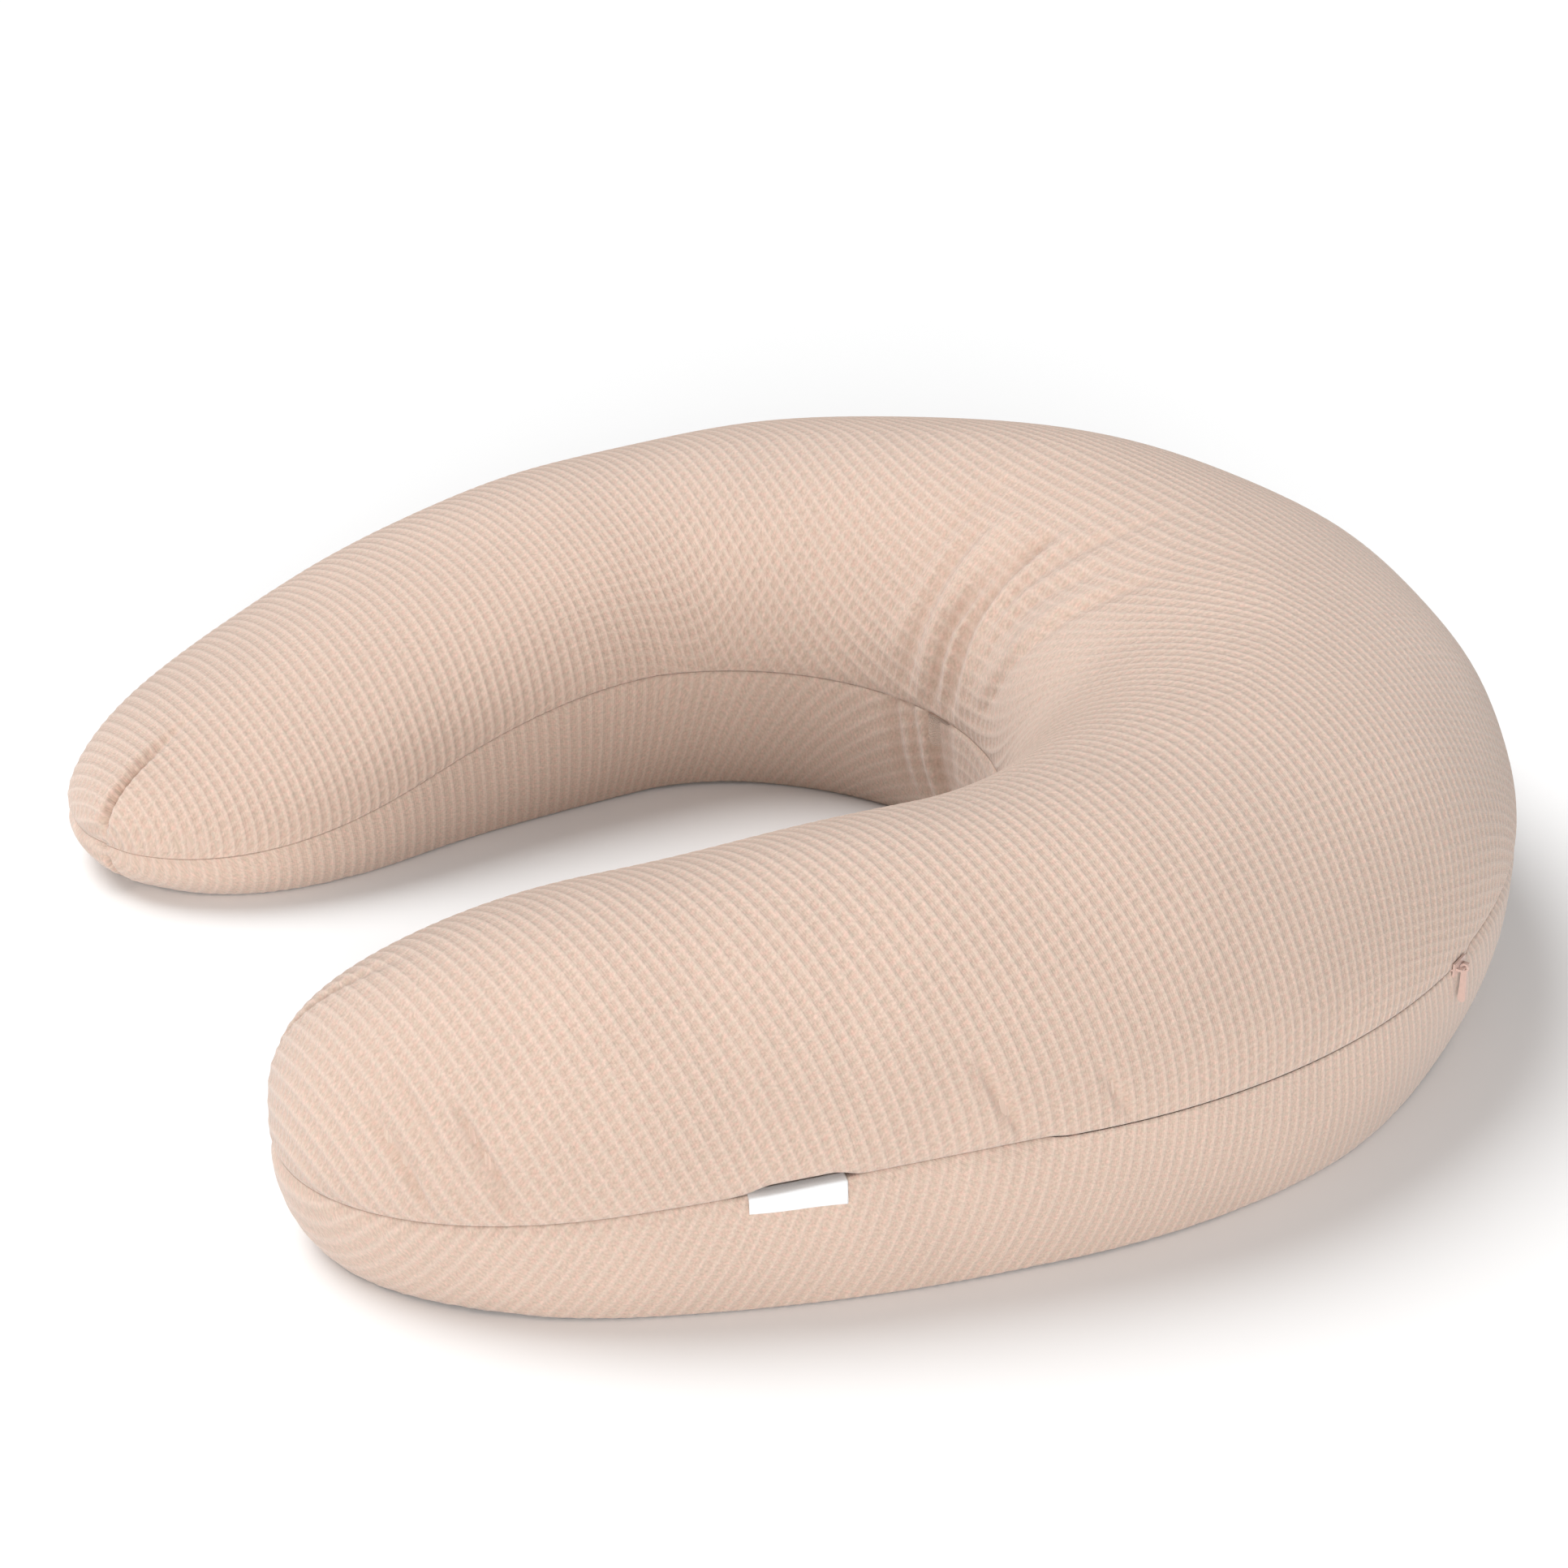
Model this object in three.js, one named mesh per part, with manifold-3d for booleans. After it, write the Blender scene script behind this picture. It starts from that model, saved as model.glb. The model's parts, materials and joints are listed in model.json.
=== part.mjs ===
// A C-shaped feeding pillow: a knitted cover of two panels, closed by a concealed zip, over a filled liner bag.
// Millimetres, +Z up. The C opens towards -X, with the near arm on the -Y side and the far arm on the +Y side.
// The origin is the middle of the outline, on the surface that the pillow lies on.
import * as THREE from "three";
import { mergeVertices } from "three/addons/utils/BufferGeometryUtils.js";
import Module from "manifold-3d";

const { abs, cos, max, min, PI, sign, sin, sqrt } = Math;
const { degToRad, lerp } = THREE.MathUtils;

// Plan: the spine is an arc for the bend, with a gentler arc for each arm.
const SPINE_RADIUS = 226;
const BEND_HALF_ANGLE = degToRad(93);
const ARM_LENGTH = 290;
const ARM_RADIUS = 620;
// The bend's outer rim is part of a true circle, this much larger than the spine's arc, whose centre lies ahead
// of the spine's, so the bend is fullest in its middle. The zip runs on this circle.
const BEND_RIM_REACH = 99.5;
const BEND_RIM_OFFSET = 22;
const TIP_HALF_WIDTH = 88;
const TIP_LENGTH = 143;
const TIP_EXPONENT = 2.17;

// Heights: of the seam above the surface, and of the crown above the seam. The belly is how far the lower panel
// would hang below the seam, as a share of the seam's height, if the surface didn't flatten it.
const BEND_SEAM = 69.5;
const NEAR_TIP_SEAM = 43;
const FAR_TIP_SEAM = 26;
const BEND_CROWN = 102.5;
const NEAR_TIP_CROWN = 89;
const FAR_TIP_CROWN = 46;
const BELLY = 1.84;
const TOP_EXPONENT = 1.91;
const BASE_EXPONENT = 2.28;
const TIP_CROWN_ROUNDING = 0.775;
const TIP_BELLY_ROUNDING = 0.94;

// Cloth and thread.
const COVER_WALL = 1.2;
const COVER_ALLOWANCE = 8;
const LINER_WALL = 0.6;
const LINER_ALLOWANCE = 5;
const COVER_THREAD = 1.2;
const LINER_THREAD = 1;
const DART_THREAD = 0.6;
const DART_HALF_WIDTH = 1;
const SEWN_GAP = 0.3; // between pieces that are sewn together
const LOOSE_GAP = 0.5; // between soft pieces that only lie against each other

// Zip. Its travel is an angle round the centre of the bend's outer rim, and its open end lies just short of where
// the near arm begins.
const ZIP_TRAVEL = degToRad(38);
const ZIP_END_GAP = 0.7;
const TAPE_THICKNESS = 0.5;
const TAPE_WIDTH = 8.7;
const COIL_DEPTH = 1.4;
const COIL_HEIGHT = 0.9;
const COIL_INSET = 1.6;
const STOP_LENGTH = 2.5;
const SLOT_END = 4; // over which the seam opens from sewn to the width of the zip

// Slider and pull tab.
const SLIDER_LENGTH = 11;
const NECK_THICKNESS = 0.8;
const SHOE_DEPTH = 1.9;
const SHOE_THICKNESS = 1.6;
const PLATE_HEIGHT = 6.4;
const PLATE_THICKNESS = 1;
const PLATE_STAND_OFF = 0.5;
const BAR_THICKNESS = 1;
const BAR_LENGTH = 8;
const TAB_LENGTH = 17;
const TAB_WIDTH = 3.4;
const TAB_THICKNESS = 1.4;
const EYE_WALL = 0.9;
const EYE_CLEARANCE = 0.4;

// Labels.
const LABEL_ARM_DISTANCE = 93; // from the end of the bend to the label's middle, along the near arm
const LABEL_WIDTH = 34;
const LABEL_DROP = 12;
const LABEL_TUCK = 6;
const LABEL_THICKNESS = 0.8;
const CARE_LABEL_WIDTH = 28;
const CARE_LABEL_DROP = 30;
const CARE_LABEL_THICKNESS = 0.4;
const CARE_LABEL_ANGLE = degToRad(-75);

// How finely the shapes are cut up.
const SKIN_STEPS = 10;
const TIP_STEPS = 7;
const ARM_STEP = 40;
const BEND_STEP = degToRad(12);
const ZIP_STEPS = 16;
const LEAST_STEP = 6; // a place that is only there for smoothness keeps this far from one that a detail needs

const BEND_RIM_RADIUS = SPINE_RADIUS + BEND_RIM_REACH;
const BEND_LENGTH = SPINE_RADIUS * BEND_HALF_ANGLE;
const HALF_LENGTH = BEND_LENGTH + ARM_LENGTH;
const TIP_START = HALF_LENGTH - TIP_LENGTH;

// Each half of the slot in the seam, and the stack of clearances that sets it.
const SEAM_HALF_GAP = SEWN_GAP / 2;
const COIL_START = NECK_THICKNESS / 2 + SEWN_GAP;
const TAPE_START = SHOE_THICKNESS / 2 + SEWN_GAP;
const TAPE_END = max(TAPE_START + TAPE_THICKNESS, COIL_START + COIL_HEIGHT);
const ZIP_HALF_GAP = TAPE_END + SEWN_GAP;
const LABEL_HALF_GAP = LABEL_THICKNESS / 2 + SEWN_GAP;

// Radii of the zip's pieces, from the rim inwards.
const COIL_OUTER = BEND_RIM_RADIUS - COIL_INSET;
const COIL_INNER = COIL_OUTER - COIL_DEPTH;
const TAPE_OUTER = COIL_INNER - SEWN_GAP;
const TAPE_INNER = TAPE_OUTER - TAPE_WIDTH;
const zipAngle = (length) => length / BEND_RIM_RADIUS;
const COIL_END = zipAngle(SLIDER_LENGTH / 2);
const STOP_START = COIL_END + zipAngle(SEWN_GAP);
const TAPE_OVERRUN = STOP_START + zipAngle(STOP_LENGTH);
const SLOT_OVERRUN = TAPE_OVERRUN + zipAngle(LOOSE_GAP);
const BEND_RIM_END = BEND_HALF_ANGLE + Math.asin((BEND_RIM_OFFSET * sin(BEND_HALF_ANGLE)) / BEND_RIM_RADIUS);
const ZIP_OPEN = -BEND_RIM_END + SLOT_OVERRUN + zipAngle(SLOT_END + ZIP_END_GAP);
const ZIP_CLOSED = ZIP_OPEN + ZIP_TRAVEL;

const LINER_INSET = BEND_RIM_RADIUS - TAPE_INNER + SEWN_GAP + LOOSE_GAP;
const LINER_SKIN = COVER_WALL + LOOSE_GAP;
const LINER_LIP_INSET = LINER_INSET + LINER_WALL + LINER_ALLOWANCE;
const FILLING_INSET = LINER_LIP_INSET + SEWN_GAP + LINER_THREAD + LOOSE_GAP;
const FILLING_SKIN = LINER_SKIN + LINER_WALL + LOOSE_GAP;

const LABEL_MIDDLE = -(BEND_LENGTH + LABEL_ARM_DISTANCE);

const wasm = await Module();
wasm.setup();

const knit = new THREE.MeshStandardMaterial({ color: 0xe0ccbe, roughness: 0.95, metalness: 0 });
const thread = new THREE.MeshStandardMaterial({ color: 0xd8c6ba, roughness: 0.9, metalness: 0 });
const tapeCloth = new THREE.MeshStandardMaterial({ color: 0xd9c3b8, roughness: 0.9, metalness: 0 });
const nylon = new THREE.MeshStandardMaterial({ color: 0xd2b9ad, roughness: 0.5, metalness: 0 });
const paintedZinc = new THREE.MeshStandardMaterial({ color: 0xe6cfc6, roughness: 0.4, metalness: 0.1 });
const whiteTape = new THREE.MeshStandardMaterial({ color: 0xf4f2ee, roughness: 0.8, metalness: 0 });
const linerCloth = new THREE.MeshStandardMaterial({ color: 0xf2f2f0, roughness: 0.9, metalness: 0 });
const fibre = new THREE.MeshStandardMaterial({ color: 0xfafafa, roughness: 1, metalness: 0 });

const plan = new THREE.Group();

function add(name, geometry, material, parent = plan) {
  const mesh = new THREE.Mesh(geometry, material);
  mesh.name = name;
  parent.add(mesh);
  return mesh;
}

// ---------- the pillow's form ----------

// Half of the bend's width, which puts its outer rim on the circle.
function bendHalfWidth(turn) {
  const across = BEND_RIM_OFFSET * sin(turn);
  return BEND_RIM_OFFSET * cos(turn) + sqrt(BEND_RIM_RADIUS ** 2 - across ** 2) - SPINE_RADIUS;
}

// A place along the spine. s is the distance from the middle of the bend, + to the far tip and - to the near one.
// A layer that is drawn in by inset has the same places, but in the tips they close up, so that it ends that
// much sooner. round falls from 1 to 0 over the tip.
function placeAt(s, inset) {
  const intoTip = min(max(abs(s) - TIP_START, 0) / TIP_LENGTH, 1);
  const run = min(abs(s), TIP_START) + intoTip * (TIP_LENGTH - inset);
  const onArm = max(run - BEND_LENGTH, 0);
  const turn = min(run, BEND_LENGTH) / SPINE_RADIUS + onArm / ARM_RADIUS;
  const towards = (angle) => new THREE.Vector3(cos(angle), sign(s) * sin(angle), 0);
  const outward = towards(turn);
  const spine = outward.clone().multiplyScalar(onArm > 0 ? ARM_RADIUS : SPINE_RADIUS);
  if (onArm > 0) spine.addScaledVector(towards(BEND_HALF_ANGLE), SPINE_RADIUS - ARM_RADIUS);
  const round = (1 - intoTip ** TIP_EXPONENT) ** (1 / TIP_EXPONENT);
  const fullWidth =
    onArm > 0
      ? lerp(bendHalfWidth(BEND_HALF_ANGLE), TIP_HALF_WIDTH, onArm / ARM_LENGTH)
      : bendHalfWidth(turn);
  return { spine, outward, round, halfWidth: (fullWidth - inset) * round };
}

// A cosine ease from one value to another, as share goes from 0 to 1.
const ease = (from, to, share) => lerp(from, to, 0.5 - 0.5 * cos(PI * share));

const seamAt = (s) =>
  ease(BEND_SEAM, s < 0 ? NEAR_TIP_SEAM : FAR_TIP_SEAM, max(abs(s) - BEND_LENGTH, 0) / ARM_LENGTH);

const crownAt = (s) => ease(BEND_CROWN, s < 0 ? NEAR_TIP_CROWN : FAR_TIP_CROWN, abs(s) / HALF_LENGTH);

// The spine's distance at which the rim passes an angle of the zip's circle.
function zipPlace(angle) {
  const x = BEND_RIM_OFFSET + BEND_RIM_RADIUS * cos(angle);
  return SPINE_RADIUS * Math.atan2(BEND_RIM_RADIUS * sin(angle), x);
}

// A point of a layer's skin. angle goes from the outer rim (0), over the crown or under the base, to the inner
// rim (PI). start is where the skin leaves the seam's level, and up is 1 for the upper panel, -1 for the lower.
function skinPoint(s, { inset, skin, start }, up, angle) {
  const { spine, outward, round, halfWidth } = placeAt(s, inset);
  const power = 2 / (up > 0 ? TOP_EXPONENT : BASE_EXPONENT);
  const lean = abs(cos(angle)) < 1e-9 ? 0 : cos(angle);
  const across = sign(lean) * abs(lean) ** power * halfWidth;
  const rise = abs(sin(angle)) < 1e-9 ? 0 : sin(angle) ** power;
  const from = start(s, lean);
  const point = spine.clone().addScaledVector(outward, across);
  if (up > 0) {
    const height = (crownAt(s) - skin - from) * round ** TIP_CROWN_ROUNDING;
    point.z = seamAt(s) + from + height * rise;
  } else {
    const depth = (seamAt(s) * BELLY - skin - from) * round ** TIP_BELLY_ROUNDING;
    point.z = max(seamAt(s) - from - depth * rise, skin);
  }
  return point;
}

// A point drawn in from the outer rim (side 1) or the inner rim (side -1), at a height over the seam's level.
function rimPoint(s, inset, side, height) {
  const { spine, outward, halfWidth } = placeAt(s, inset);
  const point = spine.clone().addScaledVector(outward, side * halfWidth);
  point.z = seamAt(s) + height;
  return point;
}

// ---------- places along the spine, from the near tip to the far one ----------

const steps = (from, to, count) =>
  Array.from({ length: count + 1 }, (_, i) => lerp(from, to, i / count));
const between = (from, to, step) => steps(from, to, Math.round((to - from) / step));

const tipPlaces = Array.from(
  { length: TIP_STEPS },
  (_, i) => TIP_START + TIP_LENGTH * sin(((TIP_STEPS - i) * PI) / (2 * TIP_STEPS)),
);
const armPlaces = between(BEND_LENGTH, TIP_START, ARM_STEP);
const smoothPlaces = [
  ...[...tipPlaces, ...armPlaces].flatMap((s) => [-s, s]),
  ...between(-BEND_LENGTH, BEND_LENGTH, SPINE_RADIUS * BEND_STEP),
];

const zipPlaces = steps(ZIP_OPEN - SLOT_OVERRUN, ZIP_CLOSED + SLOT_OVERRUN, ZIP_STEPS).map(zipPlace);
const labelPlaces = [-LABEL_WIDTH / 2, 0, LABEL_WIDTH / 2].map((offset) => LABEL_MIDDLE + offset);
const detailPlaces = [zipPlaces, labelPlaces].flatMap((list) => [
  list[0] - SLOT_END,
  ...list,
  list.at(-1) + SLOT_END,
]);

const within = (s, list) => s > list[0] - 0.01 && s < list.at(-1) + 0.01;

// The places of a layer, in order: those that its details need, and the smooth ones that aren't beside them.
function inOrder(needed) {
  const kept = [...needed];
  for (const s of smoothPlaces) {
    const inside = needed === detailPlaces && (within(s, zipPlaces) || within(s, labelPlaces));
    const least = abs(s) > TIP_START ? 0.5 : LEAST_STEP;
    if (!inside && kept.every((other) => abs(other - s) > least)) kept.push(s);
  }
  return kept.sort((a, b) => a - b);
}
const coverPlaces = inOrder(detailPlaces);
const linerPlaces = inOrder([]); // the liner and the filling have no zip or label to follow

// Half of the gap between the panels, which opens on the outer rim for the zip and for the label.
function coverHalfGap(s, lean) {
  if (lean > 0 && within(s, zipPlaces)) return ZIP_HALF_GAP;
  if (lean > 0 && within(s, labelPlaces)) return LABEL_HALF_GAP;
  return SEAM_HALF_GAP;
}

// ---------- solids swept along the spine ----------

// Joins a row of closed loops of points into one solid. Ends are "pointed" where the loops close up in a tip,
// "flat" where they are closed by a fan from each loop's first point, and "joined" where the row is a ring.
function sweep(loops, ends) {
  const size = loops[0].length;
  const position = loops.flat().flatMap((p) => [p.x, p.y, p.z]);
  const index = [];
  const rows = ends === "joined" ? loops.length : loops.length - 1;
  for (let i = 0; i < rows; i++) {
    const here = i * size;
    const next = ((i + 1) % loops.length) * size;
    for (let j = 0; j < size; j++) {
      const k = (j + 1) % size;
      index.push(here + j, next + j, next + k, here + j, next + k, here + k);
    }
  }
  if (ends === "flat") {
    const last = (loops.length - 1) * size;
    for (let j = 1; j < size - 1; j++) {
      index.push(0, j, j + 1, last, last + j + 1, last + j);
    }
  }
  const geometry = new THREE.BufferGeometry();
  geometry.setAttribute("position", new THREE.Float32BufferAttribute(position, 3));
  geometry.setIndex(index);
  return facingOut(withoutCollapsed(mergeVertices(geometry, 1e-3)));
}

function withoutCollapsed(geometry) {
  const old = geometry.index.array;
  const kept = [];
  for (let i = 0; i < old.length; i += 3) {
    const [a, b, c] = [old[i], old[i + 1], old[i + 2]];
    if (a !== b && b !== c && c !== a) kept.push(a, b, c);
  }
  geometry.setIndex(kept);
  return geometry;
}

function facingOut(geometry) {
  const index = Array.from(geometry.index.array);
  const corner = (i) => new THREE.Vector3().fromBufferAttribute(geometry.attributes.position, i);
  let volume = 0;
  for (let i = 0; i < index.length; i += 3) {
    volume += corner(index[i]).dot(corner(index[i + 1]).cross(corner(index[i + 2])));
  }
  if (volume < 0) geometry.setIndex(index.reverse());
  geometry.computeVertexNormals();
  return geometry;
}

const skinAngles = Array.from({ length: SKIN_STEPS + 1 }, (_, j) => (j * PI) / SKIN_STEPS);

const insideOf = ({ inset, skin, wall, halfGap }) => ({
  inset: inset + wall,
  skin: skin + wall,
  start: (s, lean) => halfGap(s, lean) + wall,
});

// One panel of a sewn bag: a shell, with its seam allowance turned in along both rims.
function panel(along, layer, up) {
  const { inset, skin, wall, allowance, halfGap } = layer;
  const outside = { inset, skin, start: halfGap };
  const inside = insideOf(layer);
  const lip = (s, side) => {
    const gap = halfGap(s, side);
    return [gap, gap + wall].map((height) => rimPoint(s, inset + wall + allowance, side, up * height));
  };
  const loops = along.map((s) => [
    ...skinAngles.map((angle) => skinPoint(s, outside, up, angle)),
    ...lip(s, -1),
    ...skinAngles.map((angle) => skinPoint(s, inside, up, angle)).reverse(),
    ...lip(s, 1).reverse(),
  ]);
  return sweep(loops, "pointed");
}

// A thread that runs round the inside of a seam, over both allowances, as a cord of rectangular section.
const threadLoop = (s, side, inset, thickness, halfHeight) => [
  rimPoint(s, inset, side, -halfHeight),
  rimPoint(s, inset + thickness, side, -halfHeight),
  rimPoint(s, inset + thickness, side, halfHeight),
  rimPoint(s, inset, side, halfHeight),
];

// ---------- cover ----------

const cover = {
  inset: 0,
  skin: 0,
  wall: COVER_WALL,
  allowance: COVER_ALLOWANCE - COVER_WALL,
  halfGap: coverHalfGap,
};
add("cover_top_panel", panel(coverPlaces, cover, 1), knit);
add("cover_bottom_panel", panel(coverPlaces, cover, -1), knit);

// The cover's overlock leaves the zip free: it runs from the zip's closed end round the far tip, along the inner
// rim, and round the near tip to the zip's open end.
{
  const inset = COVER_ALLOWANCE + SEWN_GAP;
  const halfHeight = SEAM_HALF_GAP + COVER_WALL;
  const loop = (s, side) => threadLoop(s, side, inset, COVER_THREAD, halfHeight);
  const loops = [
    ...coverPlaces.filter((s) => s > zipPlaces.at(-1) + 0.01).map((s) => loop(s, 1)),
    ...coverPlaces.slice(1, -1).toReversed().map((s) => loop(s, -1)),
    ...coverPlaces.filter((s) => s < zipPlaces[0] - 0.01).map((s) => loop(s, 1)),
  ];
  add("cover_overlock_thread", sweep(loops, "flat"), thread);
}

// Each tip has a dart in each panel. Its thread runs up the inside of the nose from the seam.
function dartThread(end, up, count) {
  const atDepth = (depth) => ({ inset: depth, skin: depth, start: () => 0 });
  const outer = atDepth(COVER_WALL + LOOSE_GAP);
  const inner = atDepth(COVER_WALL + LOOSE_GAP + DART_THREAD);
  const loops = tipPlaces.slice(1, 1 + count).map((s) => {
    const { outward } = placeAt(end * s, 0);
    const edge = (layer, side) =>
      skinPoint(end * s, layer, up, PI / 2).addScaledVector(outward, side * DART_HALF_WIDTH);
    return [edge(outer, -1), edge(outer, 1), edge(inner, 1), edge(inner, -1)];
  });
  return sweep(loops, "flat");
}
for (const [end, side] of [[-1, "near"], [1, "far"]]) {
  add(`dart_thread_${side}_top`, dartThread(end, 1, 3), thread);
  add(`dart_thread_${side}_bottom`, dartThread(end, -1, 2), thread);
}

// ---------- liner and filling ----------

const liner = {
  inset: LINER_INSET,
  skin: LINER_SKIN,
  wall: LINER_WALL,
  allowance: LINER_ALLOWANCE,
  halfGap: () => SEAM_HALF_GAP,
};
add("liner_top_panel", panel(linerPlaces, liner, 1), linerCloth);
add("liner_bottom_panel", panel(linerPlaces, liner, -1), linerCloth);

{
  const halfHeight = SEAM_HALF_GAP + LINER_WALL;
  const loop = (s, side) => threadLoop(s, side, LINER_LIP_INSET + SEWN_GAP, LINER_THREAD, halfHeight);
  const loops = [
    ...linerPlaces.map((s) => loop(s, 1)),
    ...linerPlaces.slice(1, -1).toReversed().map((s) => loop(s, -1)),
  ];
  add("liner_overlock_thread", sweep(loops, "joined"), thread);
}

{
  const body = { inset: FILLING_INSET, skin: FILLING_SKIN, start: () => 0 };
  const loops = linerPlaces.map((s) => [
    ...skinAngles.map((angle) => skinPoint(s, body, 1, angle)),
    ...skinAngles.slice(1, -1).map((angle) => skinPoint(s, body, -1, angle)).reverse(),
  ]);
  add("filling", sweep(loops, "pointed"), fibre);
}

// ---------- zip ----------

// The zip's own frame: its origin is the centre of the bend's outer rim, at the seam's level.
const zip = new THREE.Group();
zip.position.set(BEND_RIM_OFFSET, 0, BEND_SEAM);
plan.add(zip);

// A flat band round the zip's circle.
function arcBand(innerRadius, outerRadius, low, high, from, to, segments) {
  const shape = new THREE.Shape();
  shape.absarc(0, 0, outerRadius, from, to, false);
  shape.absarc(0, 0, innerRadius, to, from, true);
  const options = { depth: high - low, bevelEnabled: false, curveSegments: segments / 2 };
  return new THREE.ExtrudeGeometry(shape, options).translate(0, 0, low);
}

// A shape drawn in a plane that holds the zip's axis (x outward, y up), extruded along the rim and centred on it.
function alongRim(shape, length) {
  const geometry = new THREE.ExtrudeGeometry(shape, { depth: length, bevelEnabled: false });
  return geometry.rotateX(PI / 2).translate(0, length / 2, 0);
}

function rectangle(left, right, low, high) {
  const corners = [[left, low], [right, low], [right, high], [left, high]];
  return new THREE.Shape(corners.map(([x, y]) => new THREE.Vector2(x, y)));
}

for (const [side, up] of [["upper", 1], ["lower", -1]]) {
  const band = (start, end, ...rest) => [min(up * start, up * end), max(up * start, up * end), ...rest];
  const tapeSpan = [ZIP_OPEN - TAPE_OVERRUN, ZIP_CLOSED + TAPE_OVERRUN, ZIP_STEPS];
  const coilSpan = [ZIP_OPEN - COIL_END, ZIP_CLOSED + COIL_END, ZIP_STEPS];
  const tapeLevels = band(TAPE_START, TAPE_START + TAPE_THICKNESS, ...tapeSpan);
  const coilLevels = band(COIL_START, COIL_START + COIL_HEIGHT, ...coilSpan);
  add(`zip_tape_${side}`, arcBand(TAPE_INNER, TAPE_OUTER, ...tapeLevels), tapeCloth, zip);
  add(`zip_coil_${side}`, arcBand(COIL_INNER, COIL_OUTER, ...coilLevels), nylon, zip);
}

for (const [name, end, way] of [["zip_top_stop", ZIP_CLOSED, 1], ["zip_bottom_stop", ZIP_OPEN, -1]]) {
  const section = rectangle(COIL_INNER, COIL_OUTER, -TAPE_END, TAPE_END);
  const stop = add(name, alongRim(section, STOP_LENGTH), paintedZinc, zip);
  stop.rotation.z = end + way * (STOP_START + zipAngle(STOP_LENGTH / 2));
}

// The slider rests at the zip's closed end. Its neck runs between the coils, from the shoe inside to the plate
// outside, and the plate carries the bar that the pull tab hangs on.
const slider = new THREE.Group();
slider.rotation.z = ZIP_CLOSED;
zip.add(slider);

const PLATE_INNER = BEND_RIM_RADIUS + PLATE_STAND_OFF;
const PLATE_OUTER = PLATE_INNER + PLATE_THICKNESS;
const EYE_HOLE_RADIUS = (BAR_THICKNESS / 2) * Math.SQRT2 + EYE_CLEARANCE;
const EYE_RADIUS = EYE_HOLE_RADIUS + EYE_WALL;
const BAR_CENTRE = PLATE_OUTER + SEWN_GAP + EYE_RADIUS;

function solidOf(geometry) {
  const bare = new THREE.BufferGeometry();
  bare.setAttribute("position", geometry.getAttribute("position"));
  const merged = mergeVertices(bare, 1e-4);
  return new wasm.Manifold(
    new wasm.Mesh({
      numProp: 3,
      vertProperties: merged.attributes.position.array,
      triVerts: new Uint32Array(merged.index.array),
    }),
  );
}

function geometryOf(solid) {
  const { vertProperties, triVerts } = solid.getMesh();
  const geometry = new THREE.BufferGeometry();
  geometry.setAttribute("position", new THREE.BufferAttribute(vertProperties, 3));
  geometry.setIndex(new THREE.BufferAttribute(triVerts, 1));
  geometry.computeVertexNormals();
  return geometry;
}

{
  const shoeInner = TAPE_OUTER - SHOE_DEPTH;
  const section = [
    [shoeInner, SHOE_THICKNESS / 2],
    [TAPE_OUTER, SHOE_THICKNESS / 2],
    [TAPE_OUTER, NECK_THICKNESS / 2],
    [PLATE_INNER, NECK_THICKNESS / 2],
    [PLATE_INNER, PLATE_HEIGHT / 2],
    [PLATE_OUTER, PLATE_HEIGHT / 2],
  ];
  const mirrored = section.map(([x, y]) => [x, -y]).reverse();
  const outline = [...section, ...mirrored].map(([x, y]) => new THREE.Vector2(x, y));
  const body = alongRim(new THREE.Shape(outline), SLIDER_LENGTH);
  const bridgeEnd = BAR_CENTRE + BAR_THICKNESS / 2;
  const bridge = rectangle(PLATE_OUTER - SEWN_GAP, bridgeEnd, -BAR_THICKNESS / 2, BAR_THICKNESS / 2);
  const window = rectangle(PLATE_OUTER, bridgeEnd - BAR_THICKNESS, -BAR_THICKNESS, BAR_THICKNESS);
  const arch = solidOf(alongRim(bridge, BAR_LENGTH)).subtract(
    solidOf(alongRim(window, BAR_LENGTH - 2 * BAR_THICKNESS)),
  );
  add("zip_slider", geometryOf(solidOf(body).add(arch)), paintedZinc, slider);
}

{
  const neckAngle = degToRad(50);
  const endRadius = TAB_WIDTH / 2;
  const shape = new THREE.Shape();
  shape.absarc(0, 0, EYE_RADIUS, -neckAngle, PI + neckAngle, false);
  shape.absarc(0, endRadius - TAB_LENGTH, endRadius, PI, 2 * PI, false);
  const hole = new THREE.Path();
  hole.absarc(0, 0, EYE_HOLE_RADIUS, 0, 2 * PI, true);
  shape.holes.push(hole);
  const tab = add("zip_pull_tab", alongRim(shape, TAB_THICKNESS), paintedZinc, slider);
  tab.position.x = BAR_CENTRE;
}

// ---------- labels ----------

// The woven label is a folded strip: it is tucked into the seam, and its loop hangs down outside.
{
  const near = -SEWN_GAP - LOOSE_GAP;
  const far = near - LABEL_THICKNESS;
  const half = LABEL_THICKNESS / 2;
  const section = [
    [near, -half],
    [LABEL_TUCK, -half],
    [LABEL_TUCK, half],
    [far, half],
    [far, -LABEL_DROP],
    [near, -LABEL_DROP],
  ];
  const loops = labelPlaces.map((s) => section.map(([inset, height]) => rimPoint(s, inset, 1, height)));
  add("woven_label", sweep(loops, "flat"), whiteTape);
}

// How far in from the outer rim the lower panel's inner face lies, at a height below the seam's level.
function innerFaceInset(s, height) {
  const { spine, outward, halfWidth } = placeAt(s, 0);
  const points = skinAngles.map((angle) => skinPoint(s, insideOf(cover), -1, angle));
  const level = seamAt(s) + height;
  const below = points.findIndex((point) => point.z < level);
  const [high, low] = [points[below - 1], points[below]];
  const point = high.clone().lerp(low, (high.z - level) / (high.z - low.z));
  return halfWidth - point.sub(spine).dot(outward);
}

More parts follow.
